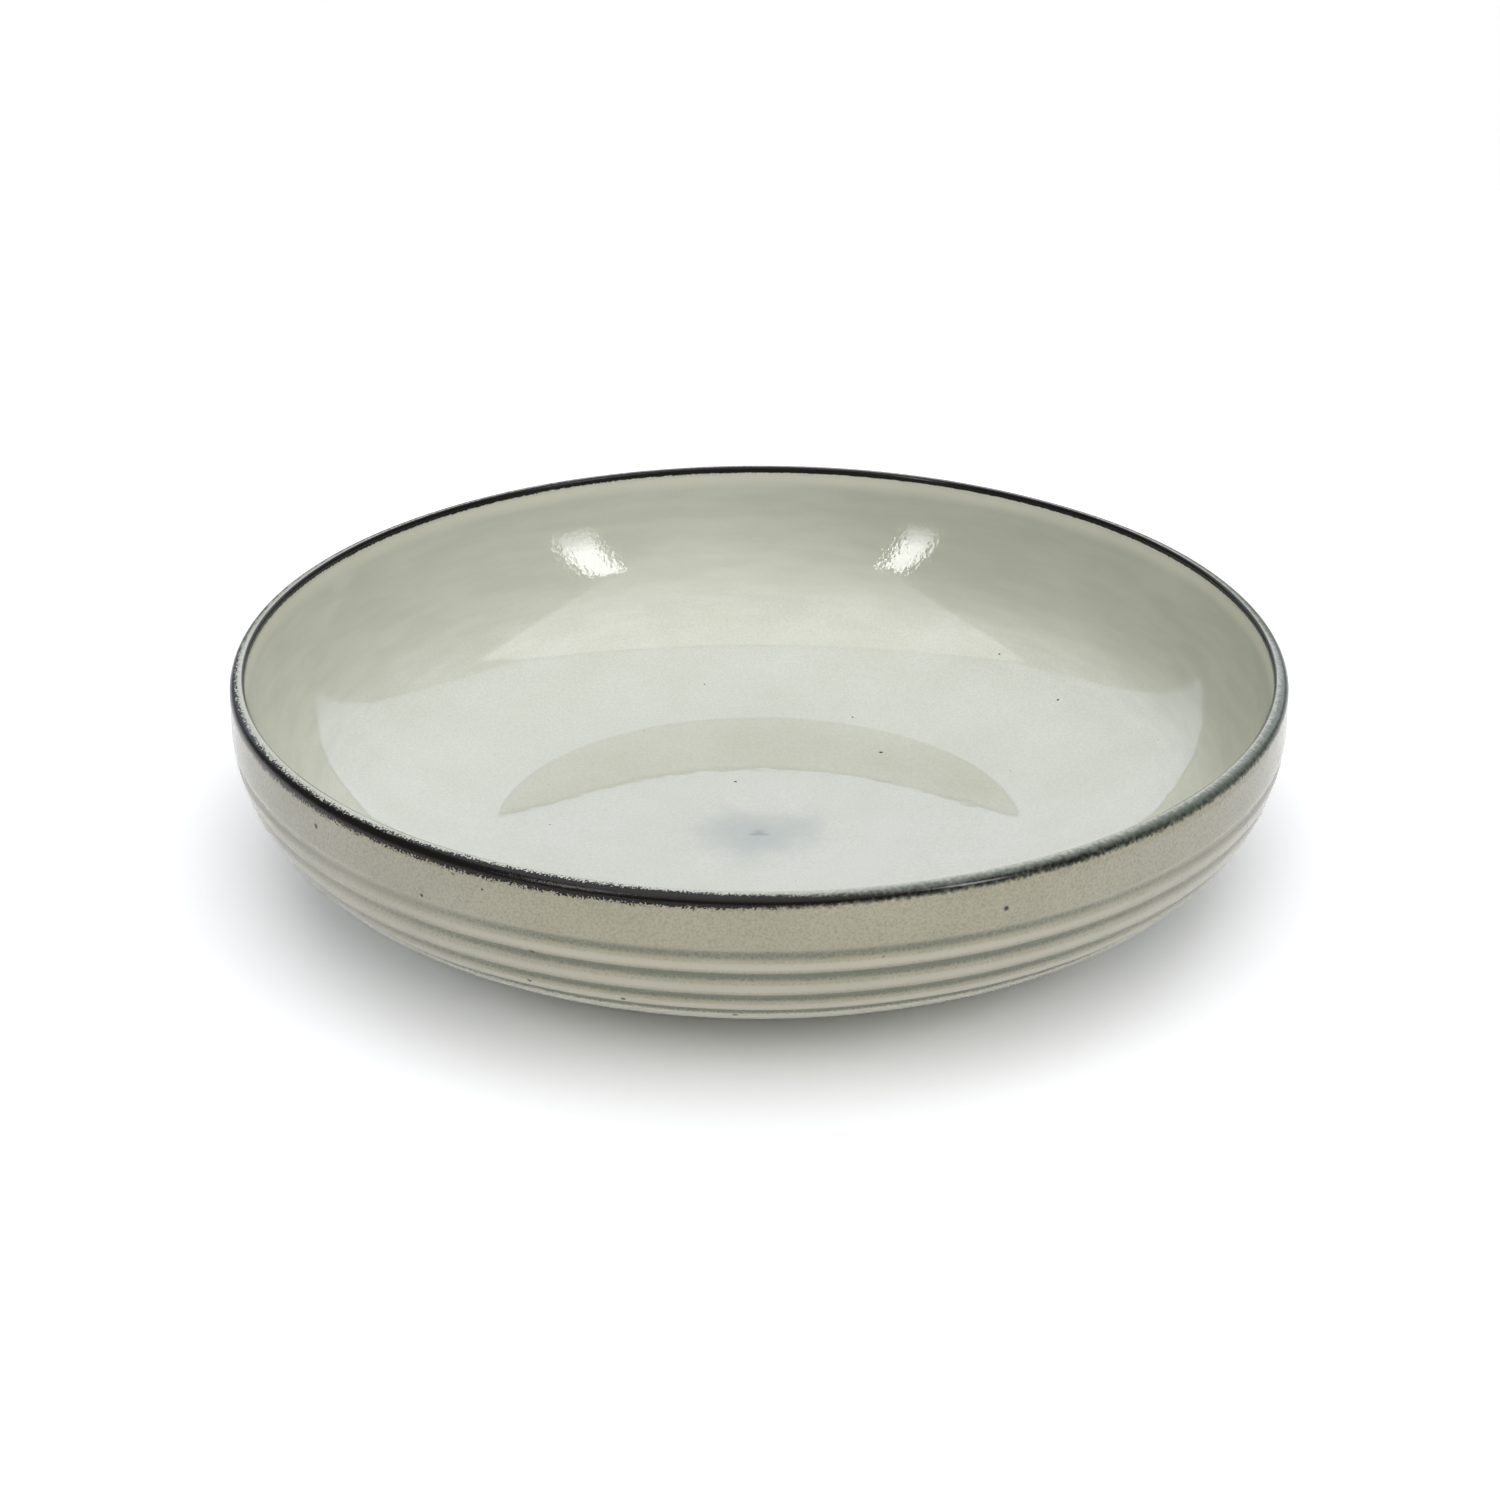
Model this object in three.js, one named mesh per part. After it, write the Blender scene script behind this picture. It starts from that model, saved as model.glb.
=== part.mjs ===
// A wide, low serving bowl in stoneware. The clay pot is one thrown and turned piece with a foot ring.
// Glass is fused to it in four coats: a pale celadon glaze inside, the same glaze outside, a dark
// iron glaze over the lip, and a patch of celadon in the recess under the foot.
// Millimetres, Z up. The bowl is round about Z and its foot stands at Z = 0.
import * as THREE from 'three';

// Overall size of the glazed bowl
const RIM_DIAMETER = 300;
const HEIGHT = 65;

// Foot ring and base
const FOOT_DIAMETER = 174;
const FOOT_HEIGHT = 5;
const FOOT_WIDTH = 7;
const FOOT_CHAMFER = 1;
const RECESS_DEPTH = 4.5;
const FLOOR_THICKNESS = 5.7;
const FLAT_FLOOR_DIAMETER = 129;

// Wall outside: straight below the lip, then a round belly that runs out into the underside
const LIP_THICKNESS = 4.2;
const STRAIGHT_WALL = 11.7;
const BELLY_RADIUS = 39.3;

// Wall inside: leaning below the lip, then a hollow and a shallow dish down to the flat floor, with the
// angles in degrees
const LEANING_WALL = 6;
const WALL_LEAN = 14.5;
const DISH_TURN = 22.5;

// Throwing grooves, counted and spaced along the belly's curve from its top
const GROOVE_COUNT = 4;
const GROOVE_START = 5.2;
const GROOVE_PITCH = 8.6;
const GROOVE_DEPTH = 0.7;

// Glaze coats
const GLAZE_THICKNESS = 0.5;
const BAND_OUTSIDE = 4.6;
const BAND_INSIDE = 2.6;
const BARE_MARGIN = 3;

// Fineness of the turned surfaces
const SEGMENTS = 48;
const STEPS_PER_GROOVE = 4;
const STEPS_PER_ARC = 4;
const STEPS_INTO_FLOOR = 8;

const rimRadius = RIM_DIAMETER / 2;
const footRadius = FOOT_DIAMETER / 2;
const recessRadius = footRadius - FOOT_WIDTH;

// Outside, the underside leaves the top of the foot along the line that just touches the belly.
const belly = new THREE.Vector2(rimRadius - BELLY_RADIUS, HEIGHT - STRAIGHT_WALL);
const footTop = new THREE.Vector2(footRadius, FOOT_HEIGHT);
const toBelly = belly.clone().sub(footTop);
const slope = toBelly.angle() - Math.asin(BELLY_RADIUS / toBelly.length());
const groovesTop = GROOVE_START - GROOVE_PITCH / 2;
const groovesLength = GROOVE_COUNT * GROOVE_PITCH;

// Inside, the dish and the hollow touch each other. How far the two together reach sideways and upwards,
// from the edge of the flat floor to the foot of the leaning wall, gives their radii.
const flatRadius = FLAT_FLOOR_DIAMETER / 2;
const floorHeight = RECESS_DEPTH + FLOOR_THICKNESS;
const lean = THREE.MathUtils.degToRad(WALL_LEAN);
const dishTurn = THREE.MathUtils.degToRad(DISH_TURN);
const wallTop = new THREE.Vector2(rimRadius - LIP_THICKNESS, HEIGHT - BAND_INSIDE);
const wallFoot = new THREE.Vector2(wallTop.x - LEANING_WALL * Math.tan(lean), wallTop.y - LEANING_WALL);
const sideways = wallFoot.x - flatRadius;
const upwards = wallFoot.y - floorHeight;
const hollowAcross = Math.cos(lean) - Math.sin(dishTurn);
const hollowUp = Math.cos(dishTurn) - Math.sin(lean);
const dishAcross = Math.sin(dishTurn);
const dishUp = 1 - Math.cos(dishTurn);
const share = hollowAcross * dishUp - hollowUp * dishAcross;
const hollowRadius = (sideways * dishUp - upwards * dishAcross) / share;
const dishRadius = (upwards * hollowAcross - sideways * hollowUp) / share;
const hollow = around(wallFoot, hollowRadius, Math.PI - lean);
const dish = new THREE.Vector2(flatRadius, floorHeight + dishRadius);

function around(centre, radius, angle) {
  return new THREE.Vector2(centre.x + radius * Math.cos(angle), centre.y + radius * Math.sin(angle));
}

function arc(centre, radius, from, to, steps = STEPS_PER_ARC) {
  const points = [];
  for (let i = 0; i <= steps; i += 1) {
    points.push(around(centre, radius, from + ((to - from) * i) / steps));
  }
  return points;
}

// How far the wall is pressed in at a distance along the belly, deepest in the middle of each groove
function grooveDepth(along) {
  const turns = (along - GROOVE_START) / GROOVE_PITCH;
  return GROOVE_DEPTH * Math.cos(Math.PI * turns) ** 6;
}

// Each face is listed from the axis or the foot towards the lip, set in by a depth below the glaze's skin.
function outerFace(depth) {
  const glazeEnd = around(footTop, BARE_MARGIN, slope);
  const points = [around(glazeEnd, depth, slope + Math.PI / 2)];
  const plainEnd = (groovesTop + groovesLength) / BELLY_RADIUS;
  points.push(...arc(belly, BELLY_RADIUS - depth, slope - Math.PI / 2, -plainEnd));
  for (let i = GROOVE_COUNT * STEPS_PER_GROOVE - 1; i >= 0; i -= 1) {
    const along = groovesTop + (GROOVE_PITCH * i) / STEPS_PER_GROOVE;
    points.push(around(belly, BELLY_RADIUS - depth - grooveDepth(along), -along / BELLY_RADIUS));
  }
  points.push(new THREE.Vector2(rimRadius - depth, HEIGHT - BAND_OUTSIDE));
  return points;
}

function innerFace(depth) {
  const middle = new THREE.Vector2(0, floorHeight - depth);
  const floor = arc(dish, dishRadius + depth, -Math.PI / 2, dishTurn - Math.PI / 2);
  const side = arc(hollow, hollowRadius + depth, dishTurn - Math.PI / 2, -lean, STEPS_INTO_FLOOR);
  const top = new THREE.Vector2(wallTop.x + depth, wallTop.y);
  return [middle, ...floor, ...side.slice(1), top];
}

// The lip is rounder outside than inside. Its face runs over the top from the outer wall to the inner one.
function lipFace(depth) {
  const outerRound = LIP_THICKNESS / 2;
  const innerRound = LIP_THICKNESS / 4;
  const outer = new THREE.Vector2(rimRadius - outerRound, HEIGHT - outerRound);
  const inner = new THREE.Vector2(rimRadius - LIP_THICKNESS + innerRound, HEIGHT - innerRound);
  return [
    new THREE.Vector2(rimRadius - depth, HEIGHT - BAND_OUTSIDE),
    ...arc(outer, outerRound - depth, 0, Math.PI / 2),
    ...arc(inner, innerRound - depth, Math.PI / 2, Math.PI),
    new THREE.Vector2(rimRadius - LIP_THICKNESS + depth, HEIGHT - BAND_INSIDE),
  ];
}

// Bare clay from the middle of the recess, round the foot ring and up to the underside
function footFace() {
  const undersideAtFoot = FOOT_HEIGHT + GLAZE_THICKNESS / Math.cos(slope);
  return [
    new THREE.Vector2(0, RECESS_DEPTH),
    new THREE.Vector2(recessRadius, RECESS_DEPTH),
    new THREE.Vector2(recessRadius, FOOT_CHAMFER),
    new THREE.Vector2(recessRadius + FOOT_CHAMFER, 0),
    new THREE.Vector2(footRadius - FOOT_CHAMFER, 0),
    new THREE.Vector2(footRadius, FOOT_CHAMFER),
    new THREE.Vector2(footRadius, undersideAtFoot),
  ];
}

// A coat lists the face it shares with the clay in the clay's own direction, so both have the same facets.
// Its outline then runs the other way round, and its facets are turned over to face outwards.
function turned(name, profile, colour, roughness) {
  const geometry = new THREE.LatheGeometry(profile, SEGMENTS);
  geometry.rotateX(Math.PI / 2);
  if (THREE.ShapeUtils.area(profile) < 0) {
    geometry.index.array.reverse();
  }
  const material = new THREE.MeshStandardMaterial({ color: colour, roughness, metalness: 0 });
  const mesh = new THREE.Mesh(geometry, material);
  mesh.name = name;
  return mesh;
}

function stonewareBody() {
  const lip = lipFace(GLAZE_THICKNESS).slice(1, -1);
  const inside = innerFace(GLAZE_THICKNESS).reverse();
  const profile = [...footFace(), ...outerFace(GLAZE_THICKNESS), ...lip, ...inside];
  return turned('stoneware_body', profile, 0x84705c, 0.9);
}

function innerGlaze() {
  const profile = [...innerFace(0), ...innerFace(GLAZE_THICKNESS).reverse()];
  return turned('inner_glaze', profile, 0xbcbeae, 0.12);
}

function outerGlaze() {
  const clay = outerFace(GLAZE_THICKNESS);
  const profile = [...clay, ...outerFace(0).reverse(), clay[0].clone()];
  return turned('outer_glaze', profile, 0xa4a18e, 0.2);
}

function rimBand() {
  const clay = lipFace(GLAZE_THICKNESS);
  const profile = [...clay, ...lipFace(0).reverse(), clay[0].clone()];
  return turned('rim_band', profile, 0x2a2620, 0.1);
}

function recessGlaze() {
  const edge = recessRadius - BARE_MARGIN;
  const skin = RECESS_DEPTH - GLAZE_THICKNESS;
  const profile = [
    new THREE.Vector2(0, skin),
    new THREE.Vector2(edge, skin),
    new THREE.Vector2(edge, RECESS_DEPTH),
    new THREE.Vector2(0, RECESS_DEPTH),
  ];
  return turned('recess_glaze', profile, 0xa4a18e, 0.2);
}

const bowl = new THREE.Group();
bowl.name = 'serving_bowl';
bowl.add(stonewareBody(), innerGlaze(), outerGlaze(), rimBand(), recessGlaze());

export default bowl;
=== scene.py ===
# %% [markdown]
# # A celadon serving bowl
# The real bowl is thrown on a wheel in stoneware clay, turned to leave a foot ring, dipped in a pale
# grey-green glaze and fired. Iron in the clay burns through the glaze where it is thin, on the lip.
# The CAD model is loaded first as a fixed frame. Its five solids are the clay and its four coats of glass.
# They are faceted, so each one is replaced here by a finely turned piece of the same size and place.

# %% Load the frame
import math

import bpy
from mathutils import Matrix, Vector


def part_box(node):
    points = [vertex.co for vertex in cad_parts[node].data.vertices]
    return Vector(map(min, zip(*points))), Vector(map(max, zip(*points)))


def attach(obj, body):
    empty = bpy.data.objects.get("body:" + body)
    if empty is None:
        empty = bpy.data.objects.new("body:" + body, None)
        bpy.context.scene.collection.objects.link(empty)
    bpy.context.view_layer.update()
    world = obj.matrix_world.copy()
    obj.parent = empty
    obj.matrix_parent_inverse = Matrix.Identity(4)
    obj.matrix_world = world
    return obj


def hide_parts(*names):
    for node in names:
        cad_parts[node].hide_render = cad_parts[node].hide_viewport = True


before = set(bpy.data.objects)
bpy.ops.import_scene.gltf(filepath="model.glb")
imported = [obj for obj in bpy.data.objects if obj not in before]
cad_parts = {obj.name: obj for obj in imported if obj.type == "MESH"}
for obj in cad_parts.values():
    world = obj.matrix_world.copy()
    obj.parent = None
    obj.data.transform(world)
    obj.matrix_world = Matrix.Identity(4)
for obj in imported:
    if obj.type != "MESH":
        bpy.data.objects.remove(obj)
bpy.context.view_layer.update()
print("nodes:", ", ".join(sorted(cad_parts)))

# %% [markdown]
# ## Sizes
# The frame gives the overall size, the lip, the thickness of the glaze and where each coat ends.
# The rest of the section can't be read from a box. It is written in millimetres, here or where it is needed.

# %% Sizes of the section
MM = 0.001
rim_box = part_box("rim_band")
inner_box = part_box("inner_glaze")
recess_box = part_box("recess_glaze")
RIM_RADIUS = rim_box[1].x
HEIGHT = rim_box[1].z
GLAZE = recess_box[1].z - recess_box[0].z
LIP = RIM_RADIUS - inner_box[1].x + GLAZE
BAND_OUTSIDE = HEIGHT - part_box("outer_glaze")[1].z
BAND_INSIDE = HEIGHT - inner_box[1].z
FLOOR = inner_box[0].z + GLAZE
RECESS_DEPTH = recess_box[1].z
RECESS_GLAZE_RADIUS = recess_box[1].x

FOOT_RADIUS = 87 * MM
FOOT_HEIGHT = 5 * MM
STRAIGHT_WALL = 11.7 * MM
BELLY_RADIUS = 39.3 * MM
FLAT_FLOOR_RADIUS = 64.5 * MM
DISH_TURN = math.radians(22.5)
LEANING_WALL = 6 * MM
WALL_LEAN = math.radians(14.5)
print(f"rim {2 * RIM_RADIUS / MM:.1f} mm, height {HEIGHT / MM:.1f} mm, lip {LIP / MM:.2f} mm, "
      f"floor at {FLOOR / MM:.2f} mm, glaze {GLAZE / MM:.2f} mm")

# %% [markdown]
# ## Camera
# The photograph was taken from about 24 degrees above the rim with a long lens. Fitting the rim's ellipse
# gave the distance, the height and the lens. The camera is aimed a little below the rim, so that the middle
# of the rim falls where it does in the picture, and no lens shift is needed.

# %% Place the camera
IMAGE_PIXELS = 1500
RIM_CENTRE_PIXEL = (760.0, 658.5)
LENS_PIXELS = 4815.0
CAMERA_DISTANCE = 9.13 * RIM_RADIUS
CAMERA_ELEVATION = math.radians(24.12)
SENSOR_WIDTH = 36
FARTHEST_SEEN = 100

camera_place = Vector((0,
                       -CAMERA_DISTANCE * math.cos(CAMERA_ELEVATION),
                       HEIGHT + CAMERA_DISTANCE * math.sin(CAMERA_ELEVATION)))
aim_down = math.atan((IMAGE_PIXELS / 2 - RIM_CENTRE_PIXEL[1]) / LENS_PIXELS)
aim_left = math.atan((RIM_CENTRE_PIXEL[0] - IMAGE_PIXELS / 2) / LENS_PIXELS)
bpy.ops.object.camera_add(location=camera_place)
camera = bpy.context.object
camera.name = "camera"
camera.rotation_euler = (math.pi / 2 - CAMERA_ELEVATION - aim_down, 0, aim_left)
camera.data.sensor_width = SENSOR_WIDTH
camera.data.lens = SENSOR_WIDTH * LENS_PIXELS / IMAGE_PIXELS
camera.data.clip_end = FARTHEST_SEEN
bpy.context.scene.camera = camera
print(f"camera at {tuple(round(c, 3) for c in camera_place)}, lens {camera.data.lens:.1f} mm")

# %% [markdown]
# ## The section
# A thrown bowl is a section turned round an axis, so half a section is all that has to be drawn.
# Outside, the underside leaves the foot along the line that just touches the belly's circle.
# Inside, the wall leans out to the lip. Below it two arcs touch each other, the hollow and a shallow dish
# that runs out into the flat floor. How far the two must reach sideways and up gives their radii.
# Every outline below is a list of (radius, height) points made of short lines and arcs.

# %% Lines and arcs
belly = (RIM_RADIUS - BELLY_RADIUS, HEIGHT - STRAIGHT_WALL)
foot_top = (FOOT_RADIUS, FOOT_HEIGHT)
belly_distance = math.dist(belly, foot_top)
slope = (math.atan2(belly[1] - foot_top[1], belly[0] - foot_top[0])
         - math.asin(BELLY_RADIUS / belly_distance))


def around(centre, radius, angle):
    return (centre[0] + radius * math.cos(angle), centre[1] + radius * math.sin(angle))


def arc(centre, radius, start, end, steps):
    return [around(centre, radius, start + (end - start) * i / steps) for i in range(steps + 1)]


def line(start, end, steps):
    return [(start[0] + (end[0] - start[0]) * i / steps, start[1] + (end[1] - start[1]) * i / steps)
            for i in range(steps + 1)]


wall_top = (RIM_RADIUS - LIP, HEIGHT - BAND_INSIDE)
wall_foot = (wall_top[0] - LEANING_WALL * math.tan(WALL_LEAN), wall_top[1] - LEANING_WALL)
sideways = wall_foot[0] - FLAT_FLOOR_RADIUS
upwards = wall_foot[1] - FLOOR
hollow_across = math.cos(WALL_LEAN) - math.sin(DISH_TURN)
hollow_up = math.cos(DISH_TURN) - math.sin(WALL_LEAN)
dish_across = math.sin(DISH_TURN)
dish_up = 1 - math.cos(DISH_TURN)
share = hollow_across * dish_up - hollow_up * dish_across
hollow_radius = (sideways * dish_up - upwards * dish_across) / share
dish_radius = (upwards * hollow_across - sideways * hollow_up) / share
hollow = around(wall_foot, hollow_radius, math.pi - WALL_LEAN)
dish = (FLAT_FLOOR_RADIUS, FLOOR + dish_radius)
print(f"underside rises at {math.degrees(slope):.1f} degrees, hollow radius {hollow_radius / MM:.1f} mm, "
      f"dish radius {dish_radius / MM:.1f} mm")

# %% [markdown]
# ## Grooves
# The potter's finger leaves four shallow grooves round the belly, a little unevenly spaced, each deepest in
# its middle. A phase counts them: it is whole in each groove and half way on the crest between two, and a
# high power of its cosine makes the grooves narrow and the crests broad.

# %% Grooves
GROOVES = (5.7 * MM, 12.8 * MM, 22.2 * MM, 31.0 * MM)
GROOVE_SIDE = 4.3 * MM
GROOVE_DEPTH = 0.7 * MM
GROOVE_SHARPNESS = 6

grooves_top = GROOVES[0] - GROOVE_SIDE
grooves_end = GROOVES[-1] + GROOVE_SIDE


def groove_phase(along):
    for i, (here, there) in enumerate(zip(GROOVES, GROOVES[1:])):
        if here <= along <= there:
            return i + (along - here) / (there - here)
    nearest = min(GROOVES, key=lambda groove: abs(groove - along))
    return (along - nearest) / (2 * GROOVE_SIDE)


def groove_depth(along):
    return GROOVE_DEPTH * math.cos(math.pi * groove_phase(along)) ** GROOVE_SHARPNESS


print(len(GROOVES), "grooves", GROOVE_DEPTH / MM, "mm deep")

# %% [markdown]
# ## Outer face
# From the foot up, the outer face is the straight underside, the round belly with its grooves and the
# straight wall. Every face of the section takes a depth under the glaze's skin, so the clay and its coats
# share one drawing, and a fineness, because hidden faces need only a few points.

# %% Outer face
BARE_MARGIN = 3 * MM
UNDERSIDE_STEPS = 6
BELLY_STEPS = 2
GROOVE_STEPS = 4
WALL_STEPS = 2
SKIN_FINENESS = 6
HIDDEN_FINENESS = 2


def outer_face(depth, fineness):
    glaze_end = around(foot_top, BARE_MARGIN, slope)
    touch = around(belly, BELLY_RADIUS, slope - math.pi / 2)
    straight = line(glaze_end, touch, UNDERSIDE_STEPS * fineness)
    below = [around(point, depth, slope + math.pi / 2) for point in straight]
    plain_end = grooves_end / BELLY_RADIUS
    belly_arc = arc(belly, BELLY_RADIUS - depth, slope - math.pi / 2, -plain_end, BELLY_STEPS * fineness)
    grooves = []
    steps = len(GROOVES) * GROOVE_STEPS * fineness
    for i in range(steps - 1, -1, -1):
        along = grooves_top + (grooves_end - grooves_top) * i / steps
        radius = BELLY_RADIUS - depth - groove_depth(along)
        grooves.append(around(belly, radius, -along / BELLY_RADIUS))
    wall_radius = RIM_RADIUS - depth
    wall = line((wall_radius, belly[1]), (wall_radius, HEIGHT - BAND_OUTSIDE), WALL_STEPS * fineness)
    return below[:-1] + belly_arc + grooves + wall


print("points in the outer face:", len(outer_face(0, SKIN_FINENESS)))

# %% [markdown]
# ## Lip
# The lip leans outwards: its inner edge is tight and highest, and its outer shoulder is a larger round.
# The crown between them is the straight line that touches both rounds.

# %% Lip face
LIP_OUTER_ROUND = 2.4 * MM
LIP_INNER_ROUND = 0.9 * MM
LIP_LEAN = math.radians(15)
ROUND_STEPS = 3
LIP_FINENESS = 5


def lip_face(depth, fineness):
    inner = (RIM_RADIUS - LIP + LIP_INNER_ROUND, HEIGHT - LIP_INNER_ROUND)
    outer_radius = RIM_RADIUS - LIP_OUTER_ROUND
    drop = ((LIP_OUTER_ROUND - LIP_INNER_ROUND) + (outer_radius - inner[0]) * math.sin(LIP_LEAN))
    outer = (outer_radius, inner[1] - drop / math.cos(LIP_LEAN))
    top = math.pi / 2 - LIP_LEAN
    outside = line((RIM_RADIUS - depth, HEIGHT - BAND_OUTSIDE), (RIM_RADIUS - depth, outer[1]), fineness)
    shoulder = arc(outer, LIP_OUTER_ROUND - depth, 0, top, ROUND_STEPS * fineness)
    edge = arc(inner, LIP_INNER_ROUND - depth, top, math.pi, ROUND_STEPS * fineness)
    crown = line(shoulder[-1], edge[0], fineness)
    inside = line(edge[-1], (RIM_RADIUS - LIP + depth, HEIGHT - BAND_INSIDE), fineness)
    return outside[:-1] + shoulder[:-1] + crown[:-1] + edge[:-1] + inside


print("points in the lip face:", len(lip_face(0, LIP_FINENESS)))

# %% [markdown]
# ## Inner face
# The floor sags a hair towards its middle, where the spiral of the throwing ends in a small nub with a
# shallow moat round it. Outwards the flat runs on under the dish as far as a soft fold, about half a
# millimetre deep, and the two come together again further up. The glossy floor mirrors what is above it,
# so these small forms decide how far the crescent mirrored on it reaches.

# %% Inner face
FLOOR_SAG = 0.9 * MM
SAG_RADIUS = 63 * MM
FOLD_RADIUS = 77.5 * MM
FOLD_END = 104 * MM
NUB_HEIGHT = 0.12 * MM
NUB_RADIUS = 1.7 * MM
MOAT_DEPTH = 0.05 * MM
MOAT_RADIUS = 3.6 * MM
MOAT_WIDTH = 1.1 * MM
NUB_REGION = 8 * MM
NUB_STEPS = 4
FLOOR_STEPS = 5
DISH_STEPS = 8
HOLLOW_STEPS = 5


def floor_height(radius):
    sag = FLOOR_SAG * max(0, 1 - (radius / SAG_RADIUS) ** 2) ** 2
    nub = NUB_HEIGHT * math.exp(-(radius / NUB_RADIUS) ** 2)
    moat = MOAT_DEPTH * math.exp(-((radius - MOAT_RADIUS) / MOAT_WIDTH) ** 2)
    return FLOOR - sag + nub - moat


def fold_drop(radius):
    inside = min(radius, FOLD_RADIUS) - FLAT_FLOOR_RADIUS
    rise = dish_radius - math.sqrt(dish_radius ** 2 - inside ** 2)
    return rise * min(1, max(0, (FOLD_END - radius) / (FOLD_END - FOLD_RADIUS)))


def inner_face(depth, fineness):
    nub_steps = NUB_STEPS * fineness
    centre = [(NUB_REGION * i / nub_steps, 0) for i in range(nub_steps)]
    middle = line((NUB_REGION, 0), (FLAT_FLOOR_RADIUS, 0), FLOOR_STEPS * fineness)
    flat = [(radius, floor_height(radius) - depth) for radius, _ in centre + middle]
    down = -math.pi / 2
    dish_arc = arc(dish, dish_radius + depth, down, down + DISH_TURN, DISH_STEPS * fineness)
    dish_arc = [(radius, height - fold_drop(radius)) for radius, height in dish_arc]
    hollow_arc = arc(hollow, hollow_radius + depth, down + DISH_TURN, -WALL_LEAN, HOLLOW_STEPS * fineness)
    leaning = line(hollow_arc[-1], (wall_top[0] + depth, wall_top[1]), fineness)
    return flat[:-1] + dish_arc[:-1] + hollow_arc[:-1] + leaning


print("points in the inner face:", len(inner_face(0, SKIN_FINENESS)))

# %% [markdown]
# ## Turning an outline
# This is what the wheel does. A small plane is merged to one vertex, the vertex is extruded from point to
# point along the outline, and a Screw modifier without any climb turns the outline a full round about Z.
# Spin would give the same mesh, but slows down with so many steps. The first and last copies meet, and so
# do the points on the axis, so doubles are merged and the normals recalculated. Smoothing by angle keeps
# the thin end of each coat crisp.

# %% A helper that turns a piece
TURNS = 360
CRISP_ANGLE = math.radians(50)
MERGE_DISTANCE = 0.002 * MM


def turn(name, outline):
    bpy.ops.object.select_all(action="DESELECT")
    bpy.ops.mesh.primitive_plane_add(size=MM, location=(0, 0, 0))
    piece = bpy.context.object
    piece.name = name
    bpy.ops.object.mode_set(mode="EDIT")
    bpy.ops.mesh.select_all(action="SELECT")
    bpy.ops.mesh.merge(type="CENTER")
    bpy.ops.transform.translate(value=(outline[0][0], 0, outline[0][1]))
    for here, there in zip(outline, outline[1:]):
        step = (there[0] - here[0], 0, there[1] - here[1])
        bpy.ops.mesh.extrude_region_move(TRANSFORM_OT_translate={"value": step})
    bpy.ops.object.mode_set(mode="OBJECT")
    wheel = piece.modifiers.new("wheel", "SCREW")
    wheel.axis = "Z"
    wheel.steps = TURNS
    wheel.render_steps = TURNS
    bpy.ops.object.modifier_apply(modifier=wheel.name)
    bpy.ops.object.mode_set(mode="EDIT")
    bpy.ops.mesh.select_all(action="SELECT")
    bpy.ops.mesh.remove_doubles(threshold=MERGE_DISTANCE)
    bpy.ops.mesh.normals_make_consistent(inside=False)
    bpy.ops.object.mode_set(mode="OBJECT")
    bpy.ops.object.shade_smooth_by_angle(angle=CRISP_ANGLE)
    print(f"{name}: {len(piece.data.vertices)} vertices, {len(piece.data.polygons)} faces")
    return piece


# %% [markdown]
# ## The clay
# The clay shows only under the bowl: the foot ring, the ledge around it and a narrow ring in the recess.
# The ring was turned with a tool and wiped with a sponge, so its edges are softly rounded.
# The faces under the glaze are drawn coarsely, because they can't be seen.

# %% Turn the clay
FOOT_WIDTH = 7 * MM
FOOT_ROUND = 1 * MM
RECESS_STEPS = 8
CORNER_STEPS = 4
FOOT_ROUND_STEPS = 6
FOOT_SIDE_STEPS = 3
CLAY_LIP_FINENESS = 1

recess_radius = FOOT_RADIUS - FOOT_WIDTH
round_out = (FOOT_RADIUS - FOOT_ROUND, FOOT_ROUND)
round_in = (recess_radius + FOOT_ROUND, FOOT_ROUND)
recess_corner = (recess_radius - FOOT_ROUND, RECESS_DEPTH - FOOT_ROUND)
under_foot = around(foot_top, GLAZE, slope + math.pi / 2)
recess_top = line((0, RECESS_DEPTH), (recess_corner[0], RECESS_DEPTH), RECESS_STEPS)
foot_face = (recess_top[:-1]
             + arc(recess_corner, FOOT_ROUND, math.pi / 2, 0, CORNER_STEPS)
             + arc(round_in, FOOT_ROUND, math.pi, 1.5 * math.pi, FOOT_ROUND_STEPS)
             + arc(round_out, FOOT_ROUND, -math.pi / 2, 0, FOOT_ROUND_STEPS)
             + line((FOOT_RADIUS, 2 * FOOT_ROUND), (FOOT_RADIUS, under_foot[1]), FOOT_SIDE_STEPS))
clay_lip = lip_face(GLAZE, CLAY_LIP_FINENESS)[1:-1]
inside_back = inner_face(GLAZE, HIDDEN_FINENESS)
outside_back = outer_face(GLAZE, HIDDEN_FINENESS)
clay = turn("clay", foot_face + outside_back + clay_lip + inside_back[::-1])

# %% [markdown]
# ## The coats of glaze
# Each coat is a thin shell of glass. The skin is drawn finely and the face on the clay coarsely, and the
# outline closes on itself or on the axis. In the recess the glaze was wiped back and melted into a round
# edge.

# %% Turn the four coats
RECESS_SKIN_STEPS = 24

inside_coat = turn("inside_coat", inner_face(0, SKIN_FINENESS) + inside_back[::-1])

outside_skin = outer_face(0, SKIN_FINENESS)
outside_coat = turn("outside_coat", outside_skin + outside_back[::-1] + outside_skin[:1])

lip_skin = lip_face(0, LIP_FINENESS)
lip_back = lip_face(GLAZE, HIDDEN_FINENESS)
lip_coat = turn("lip_coat", lip_skin + lip_back[::-1] + lip_skin[:1])

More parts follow.
